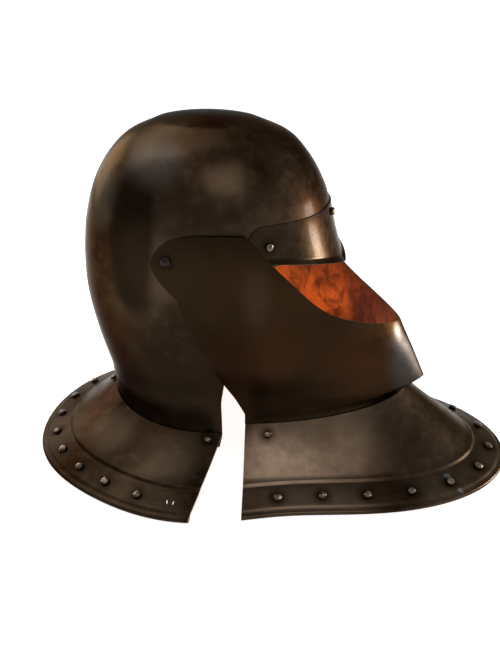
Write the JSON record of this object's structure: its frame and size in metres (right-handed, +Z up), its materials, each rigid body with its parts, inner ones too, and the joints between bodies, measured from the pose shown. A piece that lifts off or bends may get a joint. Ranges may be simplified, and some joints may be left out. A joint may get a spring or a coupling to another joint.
{
  "type": "close helmet with hinged bevor and gorget plates",
  "caption": "Steel bowl helmet with a brow plate, a pivoting chin and cheek guard open above the chin, and flared collar plates with riveted borders at front and rear.",
  "frame": {"origin": "centre of the footprint, on the plane that the rims rest on", "axes": "+Z up, +X towards the wearer's front, +Y to the wearer's left"},
  "size_m": [0.4632, 0.3382, 0.324],
  "materials": {
    "bronzed_steel": "dark antiqued brown, cloudy, soft gloss; rusty copper inside",
    "brow_steel": "dark brown, polished",
    "rivet_steel": "hammered, light bronze brown",
    "pivot_steel": "near black"
  },
  "bodies": {
    "headpiece": {"skull": "bronzed_steel", "brow_plate": "brow_steel", "gorget_rear": "bronzed_steel", "gorget_rear_rivet_01": "rivet_steel", "gorget_rear_rivet_02": "rivet_steel", "gorget_rear_rivet_03": "rivet_steel", "gorget_rear_rivet_04": "rivet_steel", "gorget_rear_rivet_05": "rivet_steel", "gorget_rear_rivet_06": "rivet_steel", "gorget_rear_rivet_07": "rivet_steel", "gorget_rear_rivet_08": "rivet_steel", "gorget_rear_rivet_09": "rivet_steel", "gorget_rear_rivet_10": "rivet_steel", "gorget_rear_rivet_11": "rivet_steel", "gorget_rear_rivet_12": "rivet_steel", "rear_neck_rivet_left": "rivet_steel", "rear_neck_rivet_right": "rivet_steel", "rear_neck_rivet_centre": "rivet_steel", "brow_rivet_right": "rivet_steel", "brow_rivet_left": "rivet_steel", "brow_rivet_centre": "rivet_steel", "pivot_rivet_right": "pivot_steel", "pivot_rivet_left": "pivot_steel"},
    "chin_guard": {"bevor": "bronzed_steel", "gorget_front": "bronzed_steel", "gorget_front_rivet_01": "rivet_steel", "gorget_front_rivet_02": "rivet_steel", "gorget_front_rivet_03": "rivet_steel", "gorget_front_rivet_04": "rivet_steel", "gorget_front_rivet_05": "rivet_steel", "gorget_front_rivet_06": "rivet_steel", "gorget_front_rivet_07": "rivet_steel", "gorget_front_rivet_08": "rivet_steel", "gorget_front_rivet_09": "rivet_steel", "gorget_front_rivet_10": "rivet_steel", "gorget_front_rivet_11": "rivet_steel", "gorget_front_rivet_12": "rivet_steel", "gorget_front_rivet_13": "rivet_steel", "front_neck_rivet_right": "rivet_steel", "front_neck_rivet_left": "rivet_steel"}
  },
  "joints": [
    {"name": "bevor_pivot", "type": "hinge", "parent": "headpiece", "child": "chin_guard", "pos_m": [-0.073, 0, 0.219], "axis": [0, -1, 0], "range_deg": [0, 65]}
  ]
}
